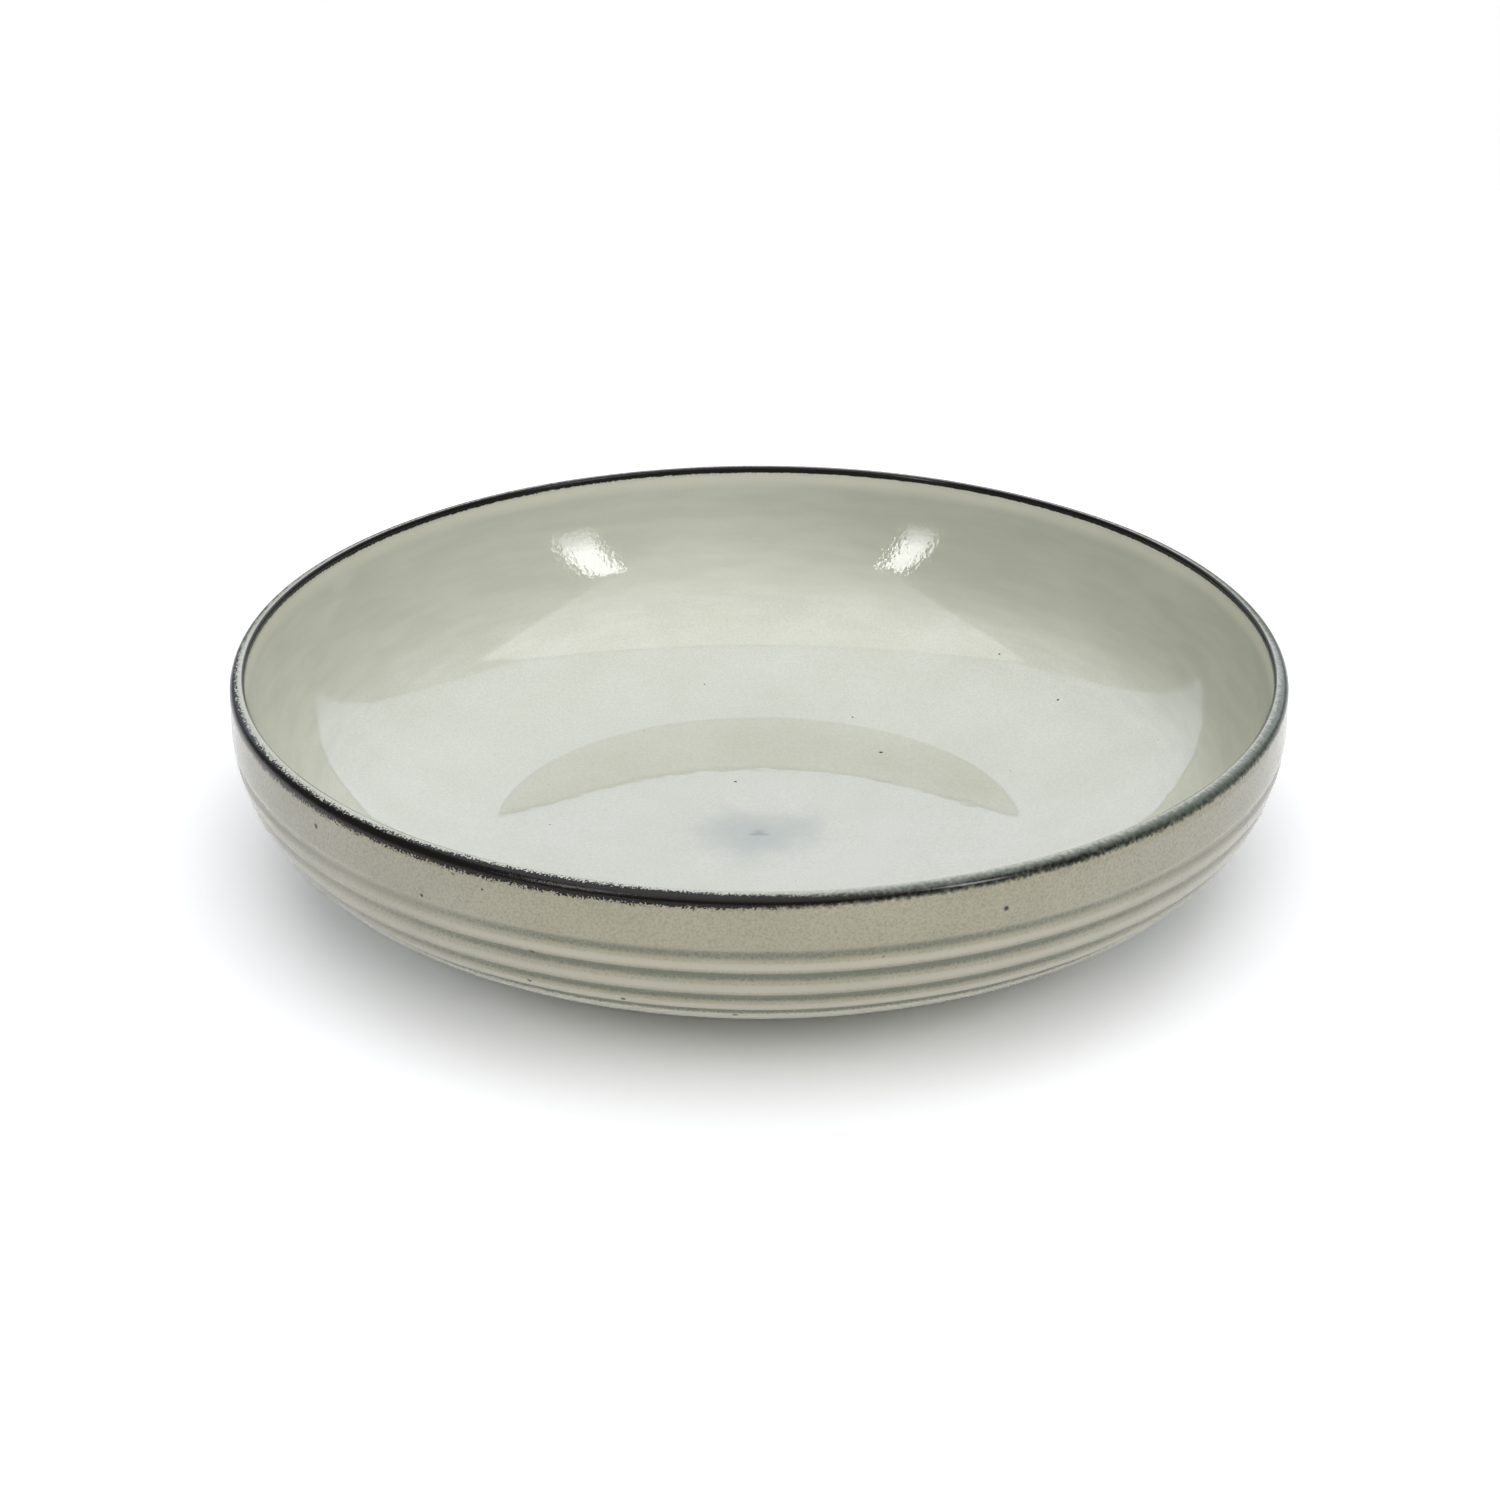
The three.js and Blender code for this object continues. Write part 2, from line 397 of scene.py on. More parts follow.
recess_edge = (RECESS_GLAZE_RADIUS - GLAZE, RECESS_DEPTH)
recess_level = RECESS_DEPTH - GLAZE
recess_skin = line((0, recess_level), (recess_edge[0], recess_level), RECESS_SKIN_STEPS)
recess_round = arc(recess_edge, GLAZE, -math.pi / 2, 0, CORNER_STEPS)
recess_coat = turn("recess_coat", recess_skin[:-1] + recess_round + [(0, RECESS_DEPTH)])

# %% [markdown]
# ## The hand in the wall
# No thrown wall is perfectly true. Three Displace modifiers move the wall a tenth of a millimetre or two
# along X, Y and Z by a soft cloud pattern in space. Because the movement depends only on the place, coats
# that touch stay together. A vertex group keeps the floor and the foot still: the floor mirrors the wall,
# and even a tiny tilt there would bend that reflection.

# %% Displace the walls
WAVE_SIZE = 70 * MM
WAVE_HEIGHT = 0.3 * MM
WAVE_FROM_RADIUS = 100 * MM
WAVE_FULL_RADIUS = 135 * MM
pieces = [clay, inside_coat, outside_coat, lip_coat, recess_coat]

waves = bpy.data.textures.new("throwing_waves", "CLOUDS")
waves.noise_scale = WAVE_SIZE
waves.noise_depth = 1
for piece in pieces:
    wall = piece.vertex_groups.new(name="wall")
    for vertex in piece.data.vertices:
        radius = math.hypot(vertex.co.x, vertex.co.y)
        share = (radius - WAVE_FROM_RADIUS) / (WAVE_FULL_RADIUS - WAVE_FROM_RADIUS)
        wall.add([vertex.index], min(1, max(0, share)), "REPLACE")
    bpy.ops.object.select_all(action="DESELECT")
    piece.select_set(True)
    bpy.context.view_layer.objects.active = piece
    for axis in "XYZ":
        displace = piece.modifiers.new(f"waves_{axis}", "DISPLACE")
        displace.texture = waves
        displace.texture_coords = "LOCAL"
        displace.direction = axis
        displace.vertex_group = "wall"
        displace.mid_level = 0.5
        displace.strength = WAVE_HEIGHT
        bpy.ops.object.modifier_apply(modifier=displace.name)
print("walls displaced by up to", round(WAVE_HEIGHT / MM / 2, 2), "mm")

# %% [markdown]
# ## Where the glaze pools
# Melted glaze runs off the crests and gathers in the grooves, where it looks darker and greener.
# A number on each vertex says where it is on the throwing wave: about 1 in a groove, -1 on a crest and 0 on
# plain wall. The first groove holds less glaze and the last more, and the wall above the first is plain.
# The glaze material reads the number as an attribute.

# %% Write the throwing wave
GROOVE_TONES = (0.75, 1, 1, 1.15)


def throwing_wave(along):
    if not grooves_top < along < grooves_end:
        return 0
    wave = math.cos(2 * math.pi * groove_phase(along))
    if wave > 0:
        nearest = min(range(len(GROOVES)), key=lambda i: abs(GROOVES[i] - along))
        return wave * GROOVE_TONES[nearest]
    return 0 if along < GROOVES[0] else wave


throwing = outside_coat.data.attributes.new("throwing", "FLOAT", "POINT")
for vertex, mark in zip(outside_coat.data.vertices, throwing.data):
    radius = math.hypot(vertex.co.x, vertex.co.y)
    mark.value = throwing_wave(BELLY_RADIUS * math.atan2(belly[1] - vertex.co.z, radius - belly[0]))
print("throwing wave written for", len(throwing.data), "vertices")

# %% [markdown]
# ## Nodes
# Materials are drawn with a few kinds of node, named here in short. The sockets of a Map Range are numbered:
# 0 is the value, 1 and 2 the range it comes from, 3 and 4 the range it goes to. Sizes of patterns are given
# in millimetres: a noise of scale 1 / size has features of about that size in Object coordinates, and most
# of its values lie between 0.3 and 0.7.

# %% Kinds of node
NOISE = "ShaderNodeTexNoise"
CELLS = "ShaderNodeTexVoronoi"
SPLIT = "ShaderNodeSeparateXYZ"
MATH = "ShaderNodeMath"
VECTOR = "ShaderNodeVectorMath"
RANGE = "ShaderNodeMapRange"
MIX = "ShaderNodeMix"
BUMP = "ShaderNodeBump"
FACTOR, COLOUR_A, COLOUR_B = 0, 6, 7
COLOURS = {"data_type": "RGBA"}
SMOOTH = {"interpolation_type": "SMOOTHSTEP"}
TIMES = {"operation": "MULTIPLY"}
LENGTH = {"operation": "LENGTH"}
NOISE_LOW = 0.3
NOISE_HIGH = 0.7
print("noise is read from", NOISE_LOW, "to", NOISE_HIGH)

# %% [markdown]
# ## Colours and links
# Colours are written as sRGB hex values, as they are read off the object, and turned to the linear values
# that Blender works in. One small function adds a node with its settings and links and hands back the first
# output that is in use. A bowl is round, so most patterns need the distance from its axis.

# %% Helpers for materials
def linear(hex_colour):
    channels = [int(hex_colour[i:i + 2], 16) / 255 for i in (1, 3, 5)]
    return tuple(c / 12.92 if c <= 0.04045 else ((c + 0.055) / 1.055) ** 2.4 for c in channels) + (1,)


def add(tree, kind, inputs, **settings):
    node = tree.nodes.new(kind)
    for name, value in settings.items():
        setattr(node, name, value)
    for socket, value in inputs.items():
        if isinstance(value, bpy.types.NodeSocket):
            tree.links.new(value, node.inputs[socket])
        else:
            node.inputs[socket].default_value = value
    return next(output for output in node.outputs if output.enabled)


def start_material(name):
    material = bpy.data.materials.new(name)
    material.use_nodes = True
    tree = material.node_tree
    place = add(tree, "ShaderNodeTexCoord", {}).node.outputs["Object"]
    return material, tree, tree.nodes["Principled BSDF"], place


def from_axis(tree, place):
    flat = add(tree, VECTOR, {0: place, 1: (1, 1, 0)}, **TIMES)
    radius = add(tree, VECTOR, {0: flat}, **LENGTH)
    return flat, radius


print("white is", linear("#FFFFFF"), "and mid grey is", linear("#808080"))

# %% [markdown]
# ## Celadon
# Celadon is a clear glass tinted grey-green by a little iron, over a pale slip. The eye sees a soft cloudy
# colour and a fine grain of tiny bubbles. Real bubbles are smaller than a pixel here, so the grain is drawn
# as coarse as it needs to show. This function draws what all the celadon shares and hands back its colour,
# so that the coats match where they meet, and its grain.

# %% What all the celadon shares
CLOUD_SIZE = 22 * MM
GRAIN_SIZE = 0.7 * MM
GLASS_INDEX = 1.5


def celadon(tree, place, thin, thick, grain_contrast):
    clouds = add(tree, NOISE, {"Vector": place, "Scale": 1 / CLOUD_SIZE, "Detail": 4})
    depth = add(tree, RANGE, {0: clouds, 1: NOISE_LOW, 2: NOISE_HIGH})
    tint = add(tree, MIX, {FACTOR: depth, COLOUR_A: linear(thin), COLOUR_B: linear(thick)}, **COLOURS)
    grain = add(tree, NOISE, {"Vector": place, "Scale": 1 / GRAIN_SIZE, "Detail": 3})
    shade = add(tree, RANGE, {0: grain, 1: NOISE_LOW, 2: NOISE_HIGH,
                              3: 1 - grain_contrast, 4: 1 + grain_contrast})
    return add(tree, VECTOR, {0: tint, 1: shade}, **TIMES), grain


print("celadon clouds", CLOUD_SIZE / MM, "mm, grain", GRAIN_SIZE / MM, "mm")

# %% [markdown]
# ## Specks of iron
# Here and there a grain of iron in the clay melted through and left a black-brown speck. A Voronoi pattern
# scatters one point in each cell of space. The cell's random colour says whether it has a speck, by its
# red, and how large the speck is, by its green.

# %% Specks
SPECK_SPACING = 9 * MM
SPECK_CORE = 0.4


def iron_specks(tree, place, colour, share, largest):
    cells = add(tree, CELLS, {"Vector": place, "Scale": 1 / SPECK_SPACING})
    chance = add(tree, "ShaderNodeSeparateColor", {0: cells.node.outputs["Color"]}).node.outputs
    present = add(tree, MATH, {0: chance["Red"], 1: share}, operation="LESS_THAN")
    size = add(tree, MATH, {0: chance["Green"], 1: largest / SPECK_SPACING}, **TIMES)
    core = add(tree, MATH, {0: size, 1: SPECK_CORE}, **TIMES)
    dot = add(tree, RANGE, {0: cells, 1: core, 2: size, 3: 1, 4: 0}, **SMOOTH)
    mask = add(tree, MATH, {0: dot, 1: present}, **TIMES)
    return add(tree, MIX, {FACTOR: mask, COLOUR_A: colour, COLOUR_B: linear("#2B231B")}, **COLOURS)


print("specks about", SPECK_SPACING / MM, "mm apart")

# %% [markdown]
# ## Iron breaking through at the lip
# On the lip the glaze runs thin and the iron under it shows through, black-brown and granular: a band on
# the outer shoulder and a hairline on the inner edge. On the left it breaks into sharp grains, on the right
# into soft stains. Masks that read only the place draw it, and all three coats near the lip use them, so no
# seam shows. The first step is how far the edge of the iron swings to and fro at each place.

# %% A ragged edge
EDGE_GRAIN = 0.6 * MM
EDGE_STAIN = 1.3 * MM
EDGE_LOW = 0.25
EDGE_HIGH = 0.75
LEFT_FROM = 70 * MM
LEFT_FULL = -50 * MM
SWING_RIGHT = 0.45 * MM
SWING_LEFT = 0.9 * MM


def ragged_edge(tree, place, across):
    left = add(tree, RANGE, {0: across, 1: LEFT_FROM, 2: LEFT_FULL}, **SMOOTH)
    grains = add(tree, NOISE, {"Vector": place, "Scale": 1 / EDGE_GRAIN, "Detail": 3})
    stains = add(tree, NOISE, {"Vector": place, "Scale": 1 / EDGE_STAIN, "Detail": 4})
    ragged = add(tree, MIX, {FACTOR: left, 2: stains, 3: grains})
    jag = add(tree, RANGE, {0: ragged, 1: EDGE_LOW, 2: EDGE_HIGH, 3: -1, 4: 1}, **SMOOTH)
    swing = add(tree, RANGE, {0: left, 3: SWING_RIGHT, 4: SWING_LEFT}, **SMOOTH)
    return left, grains, add(tree, MATH, {0: jag, 1: swing}, **TIMES)


print("iron grains", EDGE_GRAIN / MM, "mm, stains", EDGE_STAIN / MM, "mm")

# %% [markdown]
# ## The band on the shoulder
# The band begins at a height on the outer wall and ends at a radius on the crown. On the left it is wider
# and its edge sharper. At the front it reaches a little further in, and at the back right across the crown,
# so that elsewhere the crown keeps its celadon. The function also hands back how far a place is above the
# band's foot and from the rim, because the veil beside the band needs them.

# %% The band
FOOT_RIGHT = HEIGHT - 2.2 * MM
FOOT_LEFT = HEIGHT - 3.5 * MM
SOFT_RIGHT = 1.1 * MM
SOFT_LEFT = 0.15 * MM
REACH_RIGHT = 0.3 * MM
REACH_LEFT = 1.9 * MM
FRONT_FROM = -90 * MM
FRONT_FULL = -140 * MM
FRONT_REACH = 0.8 * MM
BACK_FROM = 60 * MM
BACK_FULL = 115 * MM
BACK_REACH = 3.1 * MM


def iron_band(tree, left, jitter, radius, deep, height):
    foot = add(tree, RANGE, {0: left, 3: FOOT_RIGHT, 4: FOOT_LEFT}, **SMOOTH)
    soft = add(tree, RANGE, {0: left, 3: SOFT_RIGHT, 4: SOFT_LEFT}, **SMOOTH)
    raised = add(tree, MATH, {0: height, 1: jitter})
    over = add(tree, MATH, {0: raised, 1: foot}, operation="SUBTRACT")
    over_share = add(tree, MATH, {0: over, 1: soft}, operation="DIVIDE")
    above = add(tree, RANGE, {0: over_share, 1: -1, 2: 1}, **SMOOTH)
    reach = add(tree, RANGE, {0: left, 3: REACH_RIGHT, 4: REACH_LEFT}, **SMOOTH)
    more = add(tree, RANGE, {0: deep, 1: FRONT_FROM, 2: FRONT_FULL, 4: FRONT_REACH}, **SMOOTH)
    in_front = add(tree, MATH, {0: reach, 1: more})
    reaching = add(tree, RANGE, {0: deep, 1: BACK_FROM, 2: BACK_FULL, 3: in_front, 4: BACK_REACH}, **SMOOTH)
    moved = add(tree, MATH, {0: radius, 1: jitter})
    from_rim = add(tree, MATH, {0: moved, 1: RIM_RADIUS}, operation="SUBTRACT")
    on_crown = add(tree, MATH, {0: from_rim, 1: reaching})
    crown_share = add(tree, MATH, {0: on_crown, 1: soft}, operation="DIVIDE")
    shoulder = add(tree, RANGE, {0: crown_share, 1: -1, 2: 1}, **SMOOTH)
    return add(tree, MATH, {0: above, 1: shoulder}, **TIMES), over, from_rim


print(f"band from {(HEIGHT - FOOT_LEFT) / MM:.1f} mm under the top on the left, "
      f"{(HEIGHT - FOOT_RIGHT) / MM:.1f} mm on the right")

# %% [markdown]
# ## The line on the inner edge
# The inner edge is tight, so the glaze drew off it and left a hairline of iron. It is widest and strongest
# at the back and comes and goes along the front, which a slow noise sees to.

# %% The line
LINE_WAVE = 40 * MM
LINE_OUTER = RIM_RADIUS - 3.2 * MM
LINE_INNER = RIM_RADIUS - 3.6 * MM
NARROW_FROM = -50 * MM
WIDE_FROM = 60 * MM
LINE_NARROW = 0.9 * MM
LINE_WIDE = 1.8 * MM
LINE_NUDGE = 0.25
LINE_SOFT = 0.15 * MM
WAVE_LOW = 0.4
WAVE_HIGH = 0.6
FAINTEST = 0.25
LESS_FAINT = 0.6
FAINT_FROM = -110 * MM
STRONG_FROM = 20 * MM


def iron_line(tree, place, jitter, radius, deep, height):
    inner_edge = add(tree, RANGE, {0: radius, 1: LINE_OUTER, 2: LINE_INNER}, **SMOOTH)
    width = add(tree, RANGE, {0: deep, 1: NARROW_FROM, 2: WIDE_FROM, 3: LINE_NARROW, 4: LINE_WIDE}, **SMOOTH)
    nudged = add(tree, MATH, {0: jitter, 1: LINE_NUDGE, 2: height}, operation="MULTIPLY_ADD")
    line_top = add(tree, MATH, {0: nudged, 1: width})
    on_line = add(tree, RANGE, {0: line_top, 1: HEIGHT - LINE_SOFT, 2: HEIGHT + LINE_SOFT}, **SMOOTH)
    slow = add(tree, NOISE, {"Vector": place, "Scale": 1 / LINE_WAVE, "Detail": 1})
    faint = add(tree, RANGE, {0: slow, 1: WAVE_LOW, 2: WAVE_HIGH, 3: FAINTEST, 4: LESS_FAINT}, **SMOOTH)
    strength = add(tree, RANGE, {0: deep, 1: FAINT_FROM, 2: STRONG_FROM, 3: faint, 4: 1}, **SMOOTH)
    shape = add(tree, MATH, {0: inner_edge, 1: on_line}, **TIMES)
    return add(tree, MATH, {0: shape, 1: strength}, **TIMES)


print("line", LINE_NARROW / MM, "to", LINE_WIDE / MM, "mm wide")

# %% [markdown]
# ## Iron over the celadon
# Beside the band the glaze is thin but not gone, so the iron shines through as a dark grey-green veil, most
# of it on the right. The veil is laid over the celadon first and the black iron over both.

# %% Band, line and veil together
VEIL_FROM = -4.2 * MM
VEIL_FULL = -1.4 * MM
VEIL_FOOT_FROM = -0.9 * MM
VEIL_FOOT_FULL = 0.3 * MM
VEIL_RIGHT = 0.9
VEIL_LEFT = 0.2


def iron_at_lip(tree, place):
    across, deep, height = add(tree, SPLIT, {0: place}).node.outputs
    _, radius = from_axis(tree, place)
    left, grains, jitter = ragged_edge(tree, place, across)
    band, over, from_rim = iron_band(tree, left, jitter, radius, deep, height)
    hairline = iron_line(tree, place, jitter, radius, deep, height)
    black = add(tree, MATH, {0: band, 1: hairline}, operation="MAXIMUM")
    veil = add(tree, RANGE, {0: from_rim, 1: VEIL_FROM, 2: VEIL_FULL}, **SMOOTH)
    veil_foot = add(tree, RANGE, {0: over, 1: VEIL_FOOT_FROM, 2: VEIL_FOOT_FULL}, **SMOOTH)
    veil_share = add(tree, RANGE, {0: left, 3: VEIL_RIGHT, 4: VEIL_LEFT}, **SMOOTH)
    veil_shape = add(tree, MATH, {0: veil, 1: veil_foot}, **TIMES)
    green = add(tree, MATH, {0: veil_shape, 1: veil_share}, **TIMES)
    return black, green, grains, left


def iron_over(tree, colour, black, green):
    veiled = add(tree, MIX, {FACTOR: green, COLOUR_A: colour, COLOUR_B: linear("#566057")}, **COLOURS)
    return add(tree, MIX, {FACTOR: black, COLOUR_A: veiled, COLOUR_B: linear("#14110D")}, **COLOURS)


print(f"veil {(VEIL_FULL - VEIL_FROM) / MM:.1f} mm wide")

# %% [markdown]
# ## Glaze inside
# Inside, the celadon is thick and even, a pale grey-green. Towards the middle of the floor it is painted a
# little darker, as painted shade, and high on the wall at the right and at the back left it is painted a
# darker green, also as painted shade. Each of these tones is mixed in by the radius or by a direction across
# the bowl.

# %% Tones inside
INSIDE_GRAIN = 0.06
FLOOR_TONE = 0.925
FLOOR_TONE_TO = 60 * MM
FLOOR_TONE_END = 105 * MM
HIGH_FROM = 118 * MM
HIGH_FULL = 144 * MM
TO_RIGHT = (0.8, 0.6, 0)
RIGHT_FROM = 20 * MM
RIGHT_FULL = 130 * MM
TO_BACK_LEFT = (-0.6, 0.8, 0)
BACK_LEFT_FROM = 60 * MM
BACK_LEFT_FULL = 135 * MM
BACK_LEFT_SHARE = 0.5
GREENER_FROM = 122 * MM
GREENER_FULL = 138 * MM

inside_glaze, tree, shader, place = start_material("celadon_glaze_inside")
even, _ = celadon(tree, place, "#D2D4C6", "#D8DACF", INSIDE_GRAIN)
flat, radius = from_axis(tree, place)
# Painted shade: the floor is painted a little darker towards its middle.
painted_floor_shade = add(tree, RANGE, {0: radius, 1: FLOOR_TONE_TO, 2: FLOOR_TONE_END, 3: FLOOR_TONE, 4: 1}, **SMOOTH)
colour = add(tree, VECTOR, {0: even, 1: painted_floor_shade}, **TIMES)
high = add(tree, RANGE, {0: radius, 1: HIGH_FROM, 2: HIGH_FULL}, **SMOOTH)
colour = add(tree, MIX, {FACTOR: high, COLOUR_A: colour, COLOUR_B: linear("#D5D6C9")}, **COLOURS)
# Painted shade: high on the wall at the right and at the back left the glaze is painted a darker green.
to_right = add(tree, VECTOR, {0: place, 1: TO_RIGHT}, operation="DOT_PRODUCT")
right = add(tree, RANGE, {0: to_right, 1: RIGHT_FROM, 2: RIGHT_FULL}, **SMOOTH)
to_back_left = add(tree, VECTOR, {0: place, 1: TO_BACK_LEFT}, operation="DOT_PRODUCT")
back_left = add(tree, RANGE, {0: to_back_left, 1: BACK_LEFT_FROM, 2: BACK_LEFT_FULL, 4: BACK_LEFT_SHARE},
                **SMOOTH)
sides = add(tree, MATH, {0: right, 1: back_left}, operation="MAXIMUM")
on_wall = add(tree, RANGE, {0: radius, 1: GREENER_FROM, 2: GREENER_FULL}, **SMOOTH)
painted_wall_shade = add(tree, MATH, {0: sides, 1: on_wall}, **TIMES)
colour = add(tree, MIX, {FACTOR: painted_wall_shade, COLOUR_A: colour, COLOUR_B: linear("#B9BCAC")}, **COLOURS)
print("inside tones:", len(tree.nodes), "nodes")

# %% [markdown]
# ## Streaks on the inner wall
# Fingers and a rib went round the wall as it was thrown, and the glaze shows it in faint level streaks. A
# noise is read at a point on the rim's circle, moved far up for each step up the wall, so it is drawn out
# round the bowl. Just under the lip the glaze has run off and is palest.

# %% Streaks and the pale top
STREAK_SIZE = 24 * MM
STREAK_STRETCH = 5
STREAK_DARK = -0.045
STREAK_PALE = 0.03
STREAKS_FROM = 108 * MM
STREAKS_FULL = 128 * MM
PALE_FROM = HEIGHT - 7 * MM
PALE_FULL = HEIGHT - 3.5 * MM
PALE_SHARE = 0.55

height = add(tree, SPLIT, {0: place}).node.outputs["Z"]
way_round = add(tree, VECTOR, {0: flat}, operation="NORMALIZE")
on_rim = add(tree, VECTOR, {0: way_round, "Scale": RIM_RADIUS}, operation="SCALE")
climb = add(tree, MATH, {0: radius, 1: height})
stretched = add(tree, MATH, {0: climb, 1: STREAK_STRETCH}, **TIMES)
moved_up = add(tree, "ShaderNodeCombineXYZ", {"Z": stretched})
thrown_way = add(tree, VECTOR, {0: on_rim, 1: moved_up})
streaks = add(tree, NOISE, {"Vector": thrown_way, "Scale": 1 / STREAK_SIZE, "Detail": 5})
streak = add(tree, RANGE, {0: streaks, 1: NOISE_LOW, 2: NOISE_HIGH, 3: STREAK_DARK, 4: STREAK_PALE},
             **SMOOTH)
streaked_part = add(tree, RANGE, {0: radius, 1: STREAKS_FROM, 2: STREAKS_FULL}, **SMOOTH)
streaked = add(tree, MATH, {0: streak, 1: streaked_part, 2: 1}, operation="MULTIPLY_ADD")
colour = add(tree, VECTOR, {0: colour, 1: streaked}, **TIMES)
under_lip = add(tree, RANGE, {0: height, 1: PALE_FROM, 2: PALE_FULL, 4: PALE_SHARE}, **SMOOTH)
colour = add(tree, MIX, {FACTOR: under_lip, COLOUR_A: colour, COLOUR_B: linear("#E2E0D0")}, **COLOURS)
print("with streaks:", len(tree.nodes), "nodes")

# %% [markdown]
# ## The middle of the floor
# The glaze ran down to the middle of the floor and pooled there, where it is bluer, with an uneven edge.
# The end of the throwing spiral shows through as a small grey mark, longer than it is wide.

# %% Pool, mark and specks
POOL_RADIUS = 26 * MM
POOL_SHARE = 0.8
POOL_SWING = 9 * MM
POOL_SWING_SIZE = 12 * MM
MARK_LENGTH = 7.2 * MM
MARK_WIDTH = 2.4 * MM
MARK_EDGE = 1.1
MARK_CORE = 0.5
MARK_SHARE = 0.6
SPECKED_INSIDE = 0.3
SPECK_INSIDE = 0.85 * MM

uneven = add(tree, NOISE, {"Vector": place, "Scale": 1 / POOL_SWING_SIZE, "Detail": 4})
swing = add(tree, RANGE, {0: uneven, 3: -POOL_SWING, 4: POOL_SWING})
from_middle = add(tree, MATH, {0: radius, 1: swing})
pool = add(tree, RANGE, {0: from_middle, 1: POOL_RADIUS, 2: 0, 4: POOL_SHARE}, **SMOOTH)
colour = add(tree, MIX, {FACTOR: pool, COLOUR_A: colour, COLOUR_B: linear("#AAB1AE")}, **COLOURS)
in_mark = add(tree, VECTOR, {0: flat, 1: (2 / MARK_LENGTH, 2 / MARK_WIDTH, 0)}, **TIMES)
mark_radius = add(tree, VECTOR, {0: in_mark}, **LENGTH)
mark = add(tree, RANGE, {0: mark_radius, 1: MARK_EDGE, 2: MARK_CORE, 4: MARK_SHARE}, **SMOOTH)
colour = add(tree, MIX, {FACTOR: mark, COLOUR_A: colour, COLOUR_B: linear("#848A82")}, **COLOURS)
colour = iron_specks(tree, place, colour, SPECKED_INSIDE, SPECK_INSIDE)
black, green, _, _ = iron_at_lip(tree, place)
tree.links.new(iron_over(tree, colour, black, green), shader.inputs["Base Color"])
print("with the pool, the specks and the iron:", len(tree.nodes), "nodes")

# %% [markdown]
# ## Gloss inside
# The gloss is that of glass, with an index of about 1.5. The skin of a glaze is never quite even: it has a
# soft swell everywhere and, high on the wall, a fine orange peel that frays the edges of the highlights.

# %% Gloss and skin inside
SWELL_SIZE = 5 * MM
SWELL_HEIGHT = 0.02
PEEL_SIZE = 1.3 * MM
PEEL_FROM = 124 * MM
PEEL_FULL = 136 * MM
PEEL_LEAST = 0.002
PEEL_MOST = 0.04

shader.inputs["Roughness"].default_value = 0.03
shader.inputs["IOR"].default_value = GLASS_INDEX
swell = add(tree, NOISE, {"Vector": place, "Scale": 1 / SWELL_SIZE, "Detail": 1})
swell_part = add(tree, MATH, {0: swell, 1: SWELL_HEIGHT}, **TIMES)
peel = add(tree, NOISE, {"Vector": place, "Scale": 1 / PEEL_SIZE, "Detail": 2})
peel_height = add(tree, RANGE, {0: radius, 1: PEEL_FROM, 2: PEEL_FULL, 3: PEEL_LEAST, 4: PEEL_MOST},
                  **SMOOTH)
peel_part = add(tree, MATH, {0: peel, 1: peel_height}, **TIMES)
relief = add(tree, MATH, {0: swell_part, 1: peel_part})
tree.links.new(add(tree, BUMP, {"Height": relief, "Distance": MM}), shader.inputs["Normal"])
print("inside glaze:", len(tree.nodes), "nodes")

# %% [markdown]
# ## Glaze outside
# Outside, the coat is thinner and warmer, a grey-beige, with a stronger grain. Under the lowest groove it is
# painted paler, as painted light, because a white table throws more light up there than this floor does.
# Towards the left and right the grooves are less clear and the colour a little cooler.

# %% Tones outside
OUTSIDE_THIN = "#A9A58F"
OUTSIDE_THICK = "#B2AD97"
OUTSIDE_GRAIN = 0.17
LOW_FROM = 31 * MM
LOW_FULL = 18 * MM
CLEAR_LEFT = 0.35
CLEAR_LEFT_FROM = -130 * MM
CLEAR_LEFT_FULL = -40 * MM
CLEAR_RIGHT = 0.55
CLEAR_RIGHT_FROM = 130 * MM
CLEAR_RIGHT_FULL = 50 * MM
LEAST_CLEAR = 0.4
WHITE = (1, 1, 1, 1)
COOLER = (1.02, 1.05, 1.15, 1)

outside_glaze, tree, shader, place = start_material("celadon_glaze_outside")
colour, grain = celadon(tree, place, OUTSIDE_THIN, OUTSIDE_THICK, OUTSIDE_GRAIN)
across, _, height = add(tree, SPLIT, {0: place}).node.outputs
# Painted light: under the lowest groove the glaze is painted paler, for light thrown up from a white table.
painted_bounce_light = add(tree, RANGE, {0: height, 1: LOW_FROM, 2: LOW_FULL}, **SMOOTH)
colour = add(tree, MIX, {FACTOR: painted_bounce_light, COLOUR_A: colour, COLOUR_B: linear("#D6D6C7")}, **COLOURS)
left_clear = add(tree, RANGE, {0: across, 1: CLEAR_LEFT_FROM, 2: CLEAR_LEFT_FULL, 3: CLEAR_LEFT}, **SMOOTH)
right_clear = add(tree, RANGE, {0: across, 1: CLEAR_RIGHT_FROM, 2: CLEAR_RIGHT_FULL, 3: CLEAR_RIGHT},
                  **SMOOTH)
clear = add(tree, MATH, {0: left_clear, 1: right_clear}, **TIMES)
sides = add(tree, RANGE, {0: clear, 1: 1, 2: LEAST_CLEAR})
cool = add(tree, MIX, {FACTOR: sides, COLOUR_A: WHITE, COLOUR_B: COOLER}, **COLOURS)
colour = add(tree, VECTOR, {0: colour, 1: cool}, **TIMES)
print("outside tones:", len(tree.nodes), "nodes")

# %% [markdown]
# ## Grooves and crests
# The glaze gathers grey-green in the grooves and is pale on the crests between them. The throwing wave
# written on the mesh says which is which, and the grain makes the pools' edges uneven.

